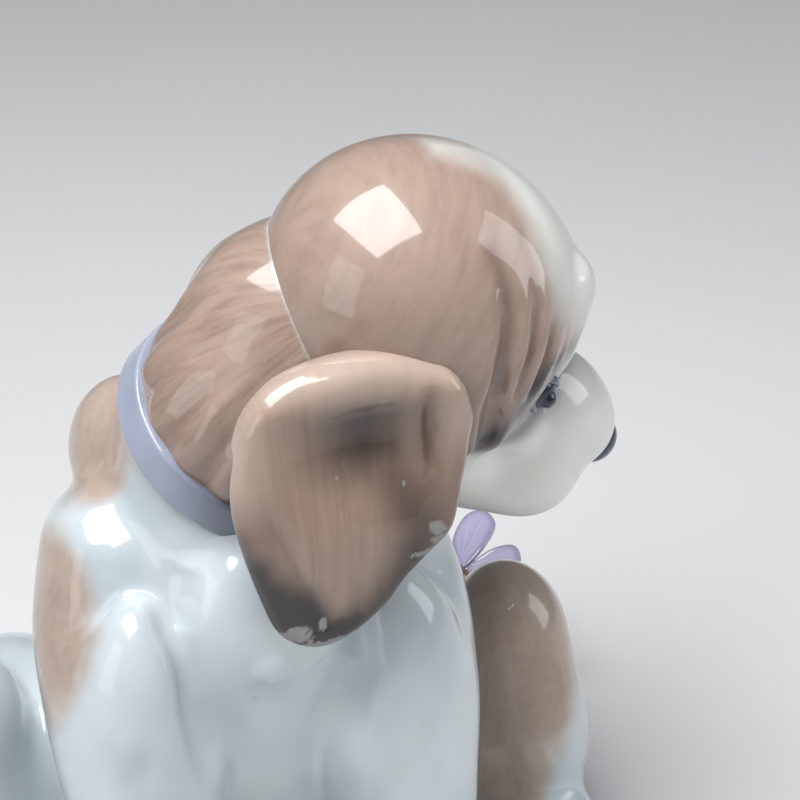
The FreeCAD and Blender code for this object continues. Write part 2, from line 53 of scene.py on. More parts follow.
def ramp(value, start, end):
    """0 before start, 1 after end, smooth between."""
    t = np.clip((value - start) / (end - start), 0, 1)
    return t * t * (3 - 2 * t)


def bump(value, width):
    """A bell of height 1 at value 0."""
    return np.exp(-((value / width) ** 2))


def join(a, b, blend):
    """Union of two forms with a fillet of that size."""
    h = np.clip(0.5 + 0.5 * (b - a) / blend, 0, 1)
    return b + (a - b) * h - blend * h * (1 - h)


def carve(a, b, blend):
    """Form a without form b."""
    return -join(-a, b, blend)


def meet(a, b, blend):
    """What forms a and b share."""
    return -join(-a, -b, blend)


def scaled_distance(q, radii):
    """Distance to an ellipse or ellipsoid at the origin, good near its surface."""
    radii = np.asarray(radii, float)
    near = np.sqrt(((q / radii) ** 2).sum(-1))
    slope = np.sqrt(((q / radii**2) ** 2).sum(-1))
    return near * (near - 1) / np.maximum(slope, 1e-6)


def ellipsoid(p, centre, radii, axes=None):
    """axes holds the lobe's own x, y and z directions as rows."""
    q = p - np.asarray(centre, float)
    if axes is not None:
        q = q @ np.asarray(axes).T
    return scaled_distance(q, radii)


def chain(p, stations, blend=0.0):
    """A limb of tapered segments through stations of x, y, z, radius."""
    stations = np.asarray(stations, float)
    result = None
    for a, b in zip(stations[:-1], stations[1:]):
        along = b[:3] - a[:3]
        t = np.clip((p - a[:3]) @ along / (along @ along), 0, 1)
        away = np.linalg.norm(p - a[:3] - t[:, None] * along, axis=1)
        piece = away - (a[3] + (b[3] - a[3]) * t)
        if result is None:
            result = piece
        elif blend:
            result = join(result, piece, blend)
        else:
            result = np.minimum(result, piece)
    return result


def smooth_stations(stations, count):
    """More stations on the smooth curve through the ones given."""
    stations = np.asarray(stations, float)
    knots, at = np.arange(len(stations)), np.linspace(0, len(stations) - 1, count)
    return np.stack([spline(at, knots, values) for values in stations.T], 1)


def line_distance(p, points):
    """Distance to a polyline, and the share of its length at the nearest place."""
    points = np.asarray(points, float)
    best, share = np.full(len(p), np.inf), np.zeros(len(p))
    for i, (a, b) in enumerate(zip(points[:-1], points[1:])):
        along = b - a
        t = np.clip((p - a) @ along / (along @ along), 0, 1)
        away = np.linalg.norm(p - a - t[:, None] * along, axis=1)
        nearer = away < best
        best = np.where(nearer, away, best)
        share = np.where(nearer, (i + t) / (len(points) - 1), share)
    return best, share


def column(p, stations, cap):
    """Ellipses stacked along z, stations of z, x, y, half width, half depth."""
    z, x, y, wide, deep = np.asarray(stations, float).T
    at = p[:, 2]
    centre = np.stack([spline(at, z, x), spline(at, z, y)], 1)
    radii = np.stack([spline(at, z, wide), spline(at, z, deep)], 1)
    side = scaled_distance(p[:, :2] - centre, radii)
    return meet(side, np.maximum(z[0] - at, at - z[-1]), cap)


def turned(degrees, axis):
    """Rows are the axes of a frame turned that far about x, y or z."""
    return np.array(Matrix.Rotation(np.radians(degrees), 3, axis)).T


# ---------------------------------------------------------------------------------------------
# Frames of the parts, in millimetres
# ---------------------------------------------------------------------------------------------


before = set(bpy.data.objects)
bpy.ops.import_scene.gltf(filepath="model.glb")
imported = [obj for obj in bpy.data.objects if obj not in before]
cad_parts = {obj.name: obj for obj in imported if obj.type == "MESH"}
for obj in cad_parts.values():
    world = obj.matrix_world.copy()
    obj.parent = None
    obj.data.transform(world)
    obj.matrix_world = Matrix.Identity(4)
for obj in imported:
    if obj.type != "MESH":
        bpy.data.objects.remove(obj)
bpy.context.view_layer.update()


def anchor(node, x, y, z):
    """The point at those shares of a node's box, in millimetres."""
    low, high = (np.array(corner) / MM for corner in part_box(node))
    return low + (high - low) * (x, y, z)


def frame_axes(first, up):
    """Right-handed axes as rows: x along first, z as near up as it can be."""
    x = np.asarray(first, float)
    x = x / np.linalg.norm(x)
    y = np.cross(up, x)
    y = y / np.linalg.norm(y)
    return np.array([x, y, np.cross(x, y)])


HEAD_TURN, HEAD_NOD = np.radians(5.0), np.radians(33.0)
NOSE_WAY = (np.cos(HEAD_NOD) * np.cos(HEAD_TURN), np.cos(HEAD_NOD) * np.sin(HEAD_TURN),
            -np.sin(HEAD_NOD))
HEAD_AXES = frame_axes(NOSE_WAY, (0.0, 0.0, 1.0))
HEAD_CENTRE = anchor("head_shell", 0.443, 0.499, 0.625)
NECK_AXIS = np.array([np.tan(np.radians(27.5)), -np.tan(np.radians(28.0)), 1.0])
NECK_AXIS /= np.linalg.norm(NECK_AXIS)
COLLAR_CENTRE = anchor("collar_band", 0.5, 0.5, 0.5) - (1.6, -1.2, 4.8)
NAPE = np.array([10.5, 0.0, 105.0])


def to_head(p):
    """World points in the head's frame: x to the nose, y to its left, z to the crown."""
    return (p - HEAD_CENTRE) @ HEAD_AXES.T


def from_head(p):
    return np.asarray(p, float) @ HEAD_AXES + HEAD_CENTRE


# ---------------------------------------------------------------------------------------------
# Forms
# ---------------------------------------------------------------------------------------------

TORSO = (
    (-1.0, 0.0, 17.0, 34.0, 30.0),
    (6.0, 0.0, 17.5, 39.5, 34.5),
    (20.0, 0.0, 16.0, 40.0, 36.0),
    (36.0, 0.0, 8.0, 33.5, 33.0),
    (52.0, 0.6, 2.0, 30.0, 29.0),
    (63.0, 1.4, -0.8, 29.0, 26.0),
    (74.4, 1.5, 0.2, 25.8, 22.4),
    (85.0, 0.5, -0.2, 19.0, 18.4),
)
FORELEG = (
    (4.0, 22.0, -36.0, 8.6, 9.2),
    (16.0, 23.0, -33.0, 8.2, 8.8),
    (32.0, 25.0, -26.0, 8.8, 10.2),
    (48.0, 26.5, -16.0, 9.8, 13.0),
    (61.0, 26.5, -7.0, 9.6, 13.6),
    (74.0, 23.0, 0.0, 7.8, 10.0),
)
TAIL = (
    (6.0, 49.0, 12.0, 6.8), (18.0, 56.5, 9.6, 6.2), (31.0, 58.0, 7.6, 5.6),
    (42.0, 54.5, 8.6, 4.9), (49.0, 48.5, 12.6, 4.2), (51.0, 43.5, 18.5, 3.6),
)


def foreleg(p):
    """The puppy's left foreleg, with toes."""
    form = column(p, FORELEG, 4.0)
    form = join(form, ellipsoid(p, (22.0, -40.0, 5.2), (9.4, 12.5, 7.6)), 4.0)
    for out, ahead in ((-6.2, -47.5), (-2.2, -50.0), (2.4, -50.0), (6.4, -47.5)):
        form = join(form, ellipsoid(p, (22.0 + out, ahead, 3.8), (2.6, 4.2, 3.6)), 1.2)
    return form


def hind_leg(p):
    """The puppy's left hind leg, folded under it with the knee up."""
    form = ellipsoid(p, (39.0, 18.0, 17.0), (17.0, 26.5, 18.5), turned(8.0, "Z"))
    form = join(form, ellipsoid(p, (48.5, 4.0, 35.0), (11.0, 13.0, 15.0)), 7.0)
    form = join(form, ellipsoid(p, (51.0, -2.0, 19.0), (10.6, 13.5, 17.5)), 6.0)
    return join(form, ellipsoid(p, (51.5, -16.0, 6.2), (9.8, 18.5, 7.2), turned(18.0, "Z")), 5.0)


def body_form(p):
    """Torso, legs and tail as one skin, flat on the ground."""
    mirrored = p * (-1, 1, 1)
    form = column(p, TORSO, 3.0)
    form = join(form, ellipsoid(p, (0.0, 44.0, 20.0), (22.0, 10.0, 17.0)), 9.0)
    form = join(form, ellipsoid(p, (-15.4, 14.4, 78.8), (10.4, 10.8, 13.2)), 3.0)
    form = join(form, ellipsoid(p, (14.5, 10.0, 69.8), (10.2, 10.0, 11.8)), 4.0)
    form = join(form, ellipsoid(p, (-1.5, -17.5, 61.0), (15.5, 11.5, 19.0)), 2.5)
    for side, q in ((1, p), (-1, mirrored)):
        form = join(form, foreleg(q), 5.0)
        form = join(form, ellipsoid(q, (20.5, -20.0, 43.0), (14.0, 13.0, 28.0)), 2.2)
        form = join(form, hind_leg(q), 5.0)
        form = join(form, ellipsoid(q, (23.5, -2.0, 69.0), (9.0, 13.0, 12.0)), 5.0)
    form = join(form, chain(p, ((0.0, 2.0, 72.0, 18.4), (*COLLAR_CENTRE, 18.8))), 5.0)
    form = join(form, chain(p, TAIL, 2.0), 4.0)
    form = fur_folds(p, form)
    return meet(form, -p[:, 2], 1.2)


FUR_FOLDS = (
    (((-14.0, -20.0, 76.0), (-17.0, -22.5, 66.0), (-15.0, -27.0, 55.0), (-9.0, -32.0, 42.0),
      (-3.0, -32.0, 33.0)), 3.4, 3.2),
    (((15.0, -22.0, 68.0), (14.5, -27.0, 58.0), (10.0, -30.0, 48.0), (3.0, -32.0, 36.0)), 2.8, 3.0),
    (((-24.0, -8.0, 82.0), (-26.0, -14.0, 72.0), (-24.0, -22.0, 60.0)), 0.8, 3.0),
    (((-9.0, -24.0, 59.0), (-3.0, -29.0, 56.5), (4.0, -29.0, 57.0), (9.0, -26.0, 60.0)), 0.7, 1.0),
    (((-7.0, -24.0, 56.5), (-2.0, -29.0, 54.0), (5.0, -29.0, 54.5)), 0.6, 1.0),
    (((20.0, -28.0, 56.0), (24.0, -33.0, 42.0), (24.0, -36.0, 28.0)), 1.0, 2.2),
    (((-20.0, -26.0, 58.0), (-24.0, -33.0, 44.0), (-24.0, -36.0, 30.0)), 1.1, 2.4),
    (((49.0, -8.0, 44.0), (48.0, -16.0, 32.0), (50.0, -20.0, 20.0)), 0.7, 2.4),
)


def fur_folds(p, form):
    """Soft folds modelled in the coat of chest, shoulders and legs."""
    for points, depth, width in FUR_FOLDS:
        away, share = line_distance(p, points)
        form = form + depth * bump(away, width) * np.sin(np.pi * np.clip(share, 0, 1)) ** 0.5
    return join(form, ellipsoid(p, (-0.5, -28.6, 60.6), (3.0, 1.6, 2.4)), 1.6)


def round_neck(p):
    """Distance up the neck from the collar, and angle round it, 0 at the top of the neck."""
    q = p - COLLAR_CENTRE
    along = q @ NECK_AXIS
    side = np.cross(NECK_AXIS, (0.0, 0.0, 1.0))
    side /= np.linalg.norm(side)
    return along, np.arctan2(q @ side, q @ np.cross(side, NECK_AXIS))


def locks(along, around):
    """Waves of -1 to 1 across the combed locks of the neck."""
    return np.sin(15.0 * around + 0.16 * along + 1.1 * np.sin(3.0 * around))


def neck_form(p):
    """The neck from under the collar up to the cranium, its coat combed into locks."""
    base = COLLAR_CENTRE - 1.0 * NECK_AXIS
    above = COLLAR_CENTRE + 7.0 * NECK_AXIS
    form = chain(p, ((*base, 19.0), (*above, 19.2), (*NAPE, 18.6)), 2.0)
    toward = from_head((-8.0, 0.0, 2.0))
    form = join(form, chain(p, ((*NAPE, 18.2), (*toward, 15.0))), 2.0)
    along, around = round_neck(p)
    form = form + 0.42 * locks(along, around) * ramp(along, 3.0, 8.0) * (
        1 - ramp(along, 12.0, 25.0))
    return meet(form, -((p - base) @ NECK_AXIS), 1.0)


COLLAR_RADIUS, COLLAR_RISE, COLLAR_FLARE = 20.1, 3.1, 0.10
COLLAR_HALF_THICKNESS, COLLAR_HALF_WIDTH = 1.1, 3.2


def collar_form(p):
    """A flat band with soft edges round the neck."""
    q = p - COLLAR_CENTRE
    along = q @ NECK_AXIS
    around = np.linalg.norm(q - along[:, None] * NECK_AXIS, axis=1)
    along = along - COLLAR_RISE
    flat = np.stack([around - COLLAR_RADIUS + COLLAR_FLARE * along, along], 1)
    outside = np.abs(flat) - (COLLAR_HALF_THICKNESS - 0.6, COLLAR_HALF_WIDTH - 0.6)
    return (np.linalg.norm(np.maximum(outside, 0), axis=1)
            + np.minimum(outside.max(1), 0) - 0.5)


WRINKLES = (
    (((-4.5, -19.5, 15.0), (0.6, -22.5, 9.5), (4.4, -24.0, 1.6), (8.0, -23.0, -6.0),
      (12.5, -19.5, -13.0), (15.0, -15.0, -19.0)), 1.7, 1.5),
    (((0.4, -16.0, 18.5), (6.6, -21.5, 9.5), (8.8, -23.0, 1.0), (11.4, -21.5, -7.0)), 0.95, 1.2),
    (((5.0, -15.0, 17.6), (10.6, -20.2, 8.6), (12.6, -21.2, 2.2), (13.8, -20.6, -5.0)), 0.9, 1.1),
    (((9.5, -13.0, 16.5), (14.2, -17.8, 8.4), (15.6, -19.4, 1.2)), 0.7, 1.0),
    (((15.0, -10.0, 14.6), (18.4, -13.8, 8.4), (18.6, -16.2, 3.2)), 0.6, 1.0),
)
CREASE = ((24.0, -9.5, 9.5), (20.6, -14.4, 7.0), (18.2, -17.8, 3.6), (17.0, -19.2, -1.6),
          (16.6, -19.2, -7.0), (15.6, -17.6, -13.0), (12.0, -17.0, -18.5))


def head_form(p):
    """Cranium, brow, cheeks, muzzle and jowls, in the head's own frame."""
    side = p * (1, -1, 1)
    form = ellipsoid(p, (0.0, 0.0, 0.0), (27.0, 25.0, 24.5))
    form = join(form, ellipsoid(p, (12.5, 0.0, 2.6), (13.5, 17.0, 16.0)), 3.0)
    form = join(form, ellipsoid(p, (4.0, 0.0, -10.0), (17.0, 21.0, 17.5)), 4.0)
    for q in (p, side):
        form = join(form, ellipsoid(q, (11.5, 11.5, -7.0), (7.6, 9.5, 13.0)), 3.0)
        form = join(form, ellipsoid(q, (16.8, 8.4, 10.6), (5.8, 6.2, 7.6)), 2.0)
    form = join(form, ellipsoid(p, (12.0, 0.0, -19.0), (17.0, 14.0, 13.5)), 4.0)
    for q in (p, side):
        form = carve(form, ellipsoid(q, (26.4, 20.0, -4.5), (8.8, 9.8, 14.0)), 0.7)
    muzzle = ellipsoid(p, (30.0, 0.0, -11.5), (14.6, 11.6, 12.5), turned(-14.0, "Y"))
    muzzle = join(muzzle, ellipsoid(p, (38.0, 0.0, -9.8), (7.8, 8.0, 7.0)), 3.0)
    for q in (p, side):
        muzzle = join(muzzle, ellipsoid(q, (33.0, 5.4, -19.0), (9.0, 5.8, 8.6)), 3.0)
    form = join(form, muzzle, 2.2)
    for q in (p, side):
        form = join(form, ellipsoid(q, (23.0, 8.6, -12.0), (5.0, 4.4, 5.0)), 2.5)
    form = join(form, ellipsoid(p, (25.0, 0.0, -22.0), (12.0, 9.0, 9.5)), 4.0)
    lip, _ = line_distance(p * (1, 0.3, 1),
                           ((44.0, 0.0, -14.0), (38.0, 0.0, -17.5), (30.0, 0.0, -20.5)))
    form = form + 0.7 * bump(lip, 0.9) * ramp(np.abs(p[:, 1]), 1.0, 3.0)
    for points, depth, width in WRINKLES:
        for q in (p, side):
            away, share = line_distance(q, points)
            depth_here = depth * ramp(share, 0.0, 0.55) * (1 - ramp(share, 0.8, 1.0))
            form = form + depth_here * (bump(away, width) - 0.35 * bump(away - 2 * width, width))
    return form


def nose_form(p):
    form = ellipsoid(p, (44.2, 0.0, -11.2), (3.8, 5.2, 4.6), turned(20.0, "Y"))
    for side in (-1, 1):
        form = carve(form, ellipsoid(p, (46.8, 2.3 * side, -10.8), (1.5, 1.1, 0.9)), 0.5)
    return form


def eye_form(p):
    """Eyeball with a raised iris and a shallow pupil, the puppy's left one."""
    form = ellipsoid(p, (22.6, 9.6, -4.6), (3.2, 3.2, 3.4))
    form = join(form, ellipsoid(p, (24.2, 11.4, -4.9), (1.7, 1.7, 1.6)), 0.3)
    return carve(form, ellipsoid(p, (25.6, 12.8, -5.0), (0.8, 0.8, 0.7)), 0.2)


def lid_form(p):
    """The lids round the eyeball, open towards the side."""
    shell = ellipsoid(p, (22.4, 9.4, -4.6), (4.1, 4.0, 4.3))
    gap = ellipsoid(p, (25.2, 13.0, -5.0), (4.4, 4.6, 2.6), turned(22.0, "Y"))
    return carve(shell, gap, 0.9)


EAR_OUTLINE = (
    (-16.0, 7.0), (-10.0, 5.0), (-3.0, 4.2), (4.0, 5.2), (9.5, 7.0), (12.6, 10.5), (13.6, 15.0),
    (13.2, 20.0), (12.0, 25.0), (11.2, 29.6), (9.6, 34.0), (5.6, 37.6), (2.0, 41.0), (-1.5, 45.2),
    (-7.6, 49.2), (-13.4, 50.0), (-18.6, 47.0), (-21.4, 39.8), (-23.6, 31.0), (-24.3, 24.2),
    (-23.6, 18.6), (-22.0, 13.6), (-19.6, 9.6),
)


def closed_curve(points, count):
    """Smooth closed curve through the points."""
    points = np.asarray(points, float)
    n = len(points)
    looped = np.concatenate([points[-3:], points, points[:3]])
    knots = np.arange(-3, n + 3)
    at = np.linspace(0, n, count, endpoint=False)
    return np.stack([spline(at, knots, looped[:, 0]), spline(at, knots, looped[:, 1])], 1)


def outline_distance(q, curve):
    """Signed distance to a closed curve in the plane, negative inside."""
    best = np.full(len(q), np.inf)
    crossings = np.zeros(len(q), int)
    for a, b in zip(curve, np.roll(curve, -1, 0)):
        along = b - a
        t = np.clip((q - a) @ along / (along @ along), 0, 1)
        best = np.minimum(best, np.linalg.norm(q - a - t[:, None] * along, axis=1))
        spans = (a[1] > q[:, 1]) != (b[1] > q[:, 1])
        rise = b[1] - a[1] if b[1] != a[1] else 1e-9
        crossings += spans & (q[:, 0] < a[0] + along[0] * (q[:, 1] - a[1]) / rise)
    return np.where(crossings % 2 == 1, -best, best)


EAR_EDGE = closed_curve(EAR_OUTLINE, 92)
EAR_SHADOW = ((-3.0, 18.0), (2.0, 26.0), (5.0, 33.0), (3.0, 38.5), (-1.0, 43.5), (-6.0, 47.5))


def ear_middle(u, v):
    """How far the flap's middle stands out from the ear's flat plane."""
    out = 5.5 * ramp(v, 1.0, 11.0) - 1.5 * ramp(v, 30.0, 50.0)
    out = out - 2.6 * bump(u + 3.0, 10.0) * bump(v - 17.0, 9.0)
    out = out + 1.6 * bump(u + 10.0, 9.0) * bump(v - 31.0, 10.0)
    out = out - 0.020 * np.maximum(-12.0 - u, 0) ** 2
    out = out + 1.5 * bump(u - 10.8, 2.4) * ramp(v, 4.0, 9.0) * (1 - ramp(v, 20.0, 30.0))
    out = out + 0.9 * bump(u - 4.9, 1.5) * ramp(v, 7.0, 11.0) * (1 - ramp(v, 18.0, 26.0))
    for start, end, depth, width in EAR_GROOVES:
        away, share = line_distance(np.stack([u, v], 1), (start, end))
        out = out - depth * bump(away, width) * np.sin(np.pi * share) ** 0.6
    return out


EAR_GROOVES = (
    ((-19.0, 25.0), (-11.5, 47.0), 0.9, 1.2),
    ((-8.5, 25.0), (-3.0, 42.0), 0.5, 1.3),
    ((-14.5, 24.0), (-9.5, 40.0), 0.35, 1.1),
    ((7.6, 9.0), (6.8, 24.0), 1.0, 1.3),
    ((1.5, 10.0), (2.5, 30.0), 0.5, 1.2),
    ((-3.0, 11.0), (-1.0, 28.0), 0.4, 1.0),
    ((-7.5, 12.0), (-5.0, 24.0), 0.4, 1.2),
)


EAR_ROLL = smooth_stations((
    (-20.5, 15.0, 0.8, 1.6), (-18.5, 11.5, 2.0, 2.3), (-14.0, 8.6, 3.2, 2.8), (-8.0, 7.6, 4.0, 3.1),
    (-1.0, 7.4, 4.3, 3.2), (5.0, 8.6, 4.3, 3.0), (9.6, 11.0, 4.4, 2.6), (11.6, 15.5, 5.0, 1.9),
), 29)


def ear_form(p):
    """A hanging ear in its own frame: x forward, y down, z outward."""
    q = p[:, :2]
    edge = outline_distance(q, EAR_EDGE)
    middle = ear_middle(p[:, 0], p[:, 1])
    half = 1.5 - 0.5 * ramp(p[:, 1], 25.0, 50.0)
    flap = meet(np.abs(p[:, 2] - middle) * 0.85 - half, edge, 1.8)
    roll = chain(p, EAR_ROLL)
    form = join(flap, roll, 3.2)
    root = ellipsoid(p, (-4.0, 8.4, 0.0), (12.5, 3.6, 5.5))
    return join(form, root, 2.0)


INSECT_BODY = (
    (0.0, -8.4, 0.0, 0.35), (0.0, -7.0, 0.0, 0.95), (0.0, -4.5, 0.0, 1.2),
    (0.0, -2.4, 0.0, 0.95), (0.0, -1.2, 0.1, 1.3), (0.0, 0.4, 0.1, 1.5), (0.0, 1.9, 0.0, 1.25),
    (0.0, 2.7, 0.0, 0.85), (0.0, 3.6, 0.1, 1.2),
)
WINGS = {
    "fore": closed_curve(((0.0, 2.6), (3.0, 7.6), (8.6, 10.4), (12.0, 8.4), (11.0, 3.4),
                          (5.6, 0.6), (0.0, 0.1)), 56),
    "hind": closed_curve(((0.0, -0.7), (6.0, -0.9), (9.8, -4.0), (8.2, -8.2), (4.2, -9.4),
                          (1.0, -4.8)), 48),
}


def insect_body_form(p):
    """The butterfly's body with a ringed abdomen and round eyes, in its own frame."""
    form = chain(p, INSECT_BODY, 0.5)
    form = form + 0.10 * np.sin(5.2 * p[:, 1]) * ramp(-p[:, 1], 1.5, 3.0)
    for side in (-1, 1):
        form = join(form, ellipsoid(p, (0.75 * side, 4.0, 0.35), (0.5, 0.55, 0.5)), 0.15)
    return form


def feelers_form(p):
    """Two feelers with a knob at the tip, in the butterfly's frame."""
    form = None
    for side in (-1, 1):
        start = np.array([0.45 * side, 4.5, 0.9])
        way = np.array([0.5 * side, 1.0, 0.75]) / 1.35
        feeler = chain(p, ((*start, 0.34), (*(start + 3.0 * way), 0.26),
                           (*(start + 5.2 * way), 0.26)))
        feeler = join(feeler, ellipsoid(p, start + 5.4 * way, (0.42, 0.42, 0.42)), 0.3)
        form = feeler if form is None else np.minimum(form, feeler)
    return form


def wing_form(p, edge):
    """A wing in its own plane, hinge at the origin, with veins raised on both faces."""
    outline = outline_distance(p[:, :2], edge)
    root = edge[0] * 0.5
    veins = np.zeros(len(p))
    for tip in edge[4::7]:
        away, share = line_distance(p[:, :2], (root, root + 0.92 * (tip - root)))
        veins = np.maximum(veins, bump(away, 0.3) * (1 - 0.6 * share))
    camber = 0.05 * p[:, 0] - 0.006 * p[:, 0] ** 2
    half = 0.32 + 0.14 * veins + 0.08 * bump(outline + 0.5, 0.4)
    return meet(np.abs(p[:, 2] + 0.45 - camber) - half, outline, 0.35)


# ---------------------------------------------------------------------------------------------
# Skins: a mesh round the zero surface of a form
# ---------------------------------------------------------------------------------------------


def lattice(field, low, high, step):
    """The field's values on a regular lattice, one slab at a time."""
    x, y, z = (np.arange(a, b + step, step) for a, b in zip(low, high))
    yy, zz = np.meshgrid(y, z, indexing="ij")
    slab = np.stack([np.zeros(yy.size), yy.ravel(), zz.ravel()], 1)
    values = np.empty((len(x), len(y), len(z)))
    for i, at in enumerate(x):
        slab[:, 0] = at
        values[i] = field(slab).reshape(yy.shape)
    return values


def cell_corners(values):
    """The eight corner values of every cell, with the corners' places in the cell."""
    for i in (0, 1):
        for j in (0, 1):
            for k in (0, 1):
                span = tuple(slice(s, s - 1 or None) for s in (i, j, k))
                yield (i, j, k), values[span]


def surface_net(values, low, step):
    """One vertex in each cell the surface crosses, one face across each crossed lattice edge."""
    inside = values < 0
    count = sum(part.astype(np.int8) for _, part in cell_corners(inside))
    active = (count > 0) & (count < 8)
    cells = np.argwhere(active)
    number = np.full(active.shape, -1)
    number[active] = np.arange(len(cells))
    corners = {place: values[tuple((cells + place).T)] for place, _ in cell_corners(inside)}
    total, hits = np.zeros((len(cells), 3)), np.zeros(len(cells))
    for a in corners:
        for axis in range(3):
            if a[axis]:
                continue
            b = tuple(1 if i == axis else a[i] for i in range(3))
            va, vb = corners[a], corners[b]
            crossed = (va < 0) != (vb < 0)
            t = np.where(crossed, va / np.where(crossed, va - vb, 1.0), 0.0)
            place = np.tile(np.asarray(a, float), (len(cells), 1))
            place[:, axis] = t
            total += place * crossed[:, None]
            hits += crossed
    vertices = np.asarray(low) + step * (cells + total / hits[:, None])
    faces = []
    for axis in range(3):
        b, c = (axis + 1) % 3, (axis + 2) % 3
        ahead = np.roll(inside, -1, axis)
        crossed = inside != ahead
        for other in range(3):
            edge = [slice(None)] * 3
            edge[other] = -1
            crossed[tuple(edge)] = False
            if other != axis:
                edge[other] = 0
                crossed[tuple(edge)] = False
        at = np.argwhere(crossed)
        ring = []
        for db, dc in ((0, 0), (1, 0), (1, 1), (0, 1)):
            cell = at.copy()
            cell[:, b] -= db
            cell[:, c] -= dc
            ring.append(number[tuple(cell.T)])
        ring = np.stack(ring, 1)
        outward = inside[tuple(at.T)]
        ring[~outward] = ring[~outward][:, ::-1]
        faces.append(ring)
    return vertices, np.concatenate(faces)


def slope(field, p, reach=0.2):
    """The field's gradient by central differences."""
    steps = reach * np.eye(3)
    return np.stack([field(p + s) - field(p - s) for s in steps], 1) / (2 * reach)


def neighbour_mean(vertices, faces):
    """The mean of each vertex's neighbours round its faces."""
    pairs = np.concatenate([faces[:, (0, 1)], faces[:, (1, 2)], faces[:, (2, 3)],
                            faces[:, (3, 0)]])
    pairs = np.concatenate([pairs, pairs[:, ::-1]])
    weight = np.bincount(pairs[:, 0], minlength=len(vertices))
    sums = [np.bincount(pairs[:, 0], vertices[pairs[:, 1], i], len(vertices)) for i in range(3)]
    return np.stack(sums, 1) / weight[:, None]


def sculpt(field, low, high, step):
    """Vertices and quads of the form's skin, evened out and laid exactly on its surface."""
    rounds = 3
    vertices, faces = surface_net(lattice(field, low, high, step), low, step)
    for _ in range(rounds):
        way = slope(field, vertices)
        size = np.linalg.norm(way, axis=1)[:, None]
        normal = way / size
        move = neighbour_mean(vertices, faces) - vertices
        move -= (move * normal).sum(1)[:, None] * normal
        vertices = vertices + 0.5 * move
        away = np.clip(field(vertices)[:, None] / size, -step, step)
        vertices = vertices - away * normal
    return vertices, faces


def make_piece(name, vertices, faces, nodes, material, paint):
    """A mesh in metres from points in millimetres, with its paint, bound to the frame."""
    mesh = bpy.data.meshes.new(name)
    mesh.from_pydata((vertices * MM).tolist(), [], faces.tolist())
    mesh.polygons.foreach_set("use_smooth", np.ones(len(faces), bool))
    for label, values in paint.items():
        kind = "FLOAT_VECTOR" if values.ndim == 2 else "FLOAT"
        field = "vector" if values.ndim == 2 else "value"
        layer = mesh.attributes.new(label, kind, "POINT")
        layer.data.foreach_set(field, values.astype(np.float32).ravel())
    mesh.materials.append(material)
    mesh.validate()
    piece = bpy.data.objects.new(name, mesh)
    bpy.context.scene.collection.objects.link(piece)
    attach(piece, "root")
    if nodes:
        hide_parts(*nodes)
    return piece


# ---------------------------------------------------------------------------------------------
# Paint: where each glaze lies, with painted shade and painted highlights, as numbers on the
# vertices
# ---------------------------------------------------------------------------------------------


WAVES = 5


def ripple(p, scale, seed, octaves=3):
    """Smooth wandering values of about -1 to 1, from seeded waves."""
    source = np.random.default_rng(seed)
    total, weight = np.zeros(len(p)), 0.0
    for octave in range(octaves):
        for _ in range(WAVES):
            way = source.normal(size=p.shape[1])
            way /= np.linalg.norm(way)
            share = 0.55**octave
            turn = 2 * np.pi * 2**octave / scale * source.uniform(0.7, 1.3)
            total += share * np.sin(p @ way * turn + source.uniform(0, 6.28))
            weight += share * 0.45
    return total / weight


def patch(p, centre, radii, seed, soft=0.22):
    """1 inside a hand-painted patch with an uneven edge, 0 outside."""
    q = np.linalg.norm((p - np.asarray(centre)) / np.asarray(radii), axis=1)
    return 1 - ramp(q + 0.10 * ripple(p, 14.0, seed), 1 - soft, 1 + soft)


def paint_body(p):
    brown = np.zeros(len(p))
    for centre, radii, seed in (
        ((-20.0, 12.0, 87.0), (17.5, 19.0, 12.0), 3),
        ((-36.0, -10.0, 64.0), (10.0, 16.0, 17.0), 4),
        ((45.5, -5.0, 40.0), (14.5, 18.0, 21.0), 5),
        ((43.0, -14.0, 20.0), (8.0, 10.0, 12.0), 8),
        ((66.0, -10.0, 14.0), (7.0, 14.0, 9.0), 6),
        ((8.0, 52.0, 34.0), (26.0, 16.0, 18.0), 7),
        ((54.0, 30.0, 18.0), (16.0, 12.0, 14.0), 9),
        ((53.0, 47.0, 18.0), (8.0, 11.0, 7.0), 10),
    ):
        brown = np.maximum(brown, patch(p, centre, radii, seed))
    dark = 0.10 * patch(p, (-33.0, -12.0, 62.0), (6.0, 9.0, 9.0), 11)
    deep = 0.12 * patch(p, (50.0, -6.0, 24.0), (18.0, 20.0, 17.0), 12)
    return {"brown": brown, "deep": deep, "dark": dark, "chip": np.zeros(len(p)),
            "hair": p * (0.10, 0.10, 0.03)}


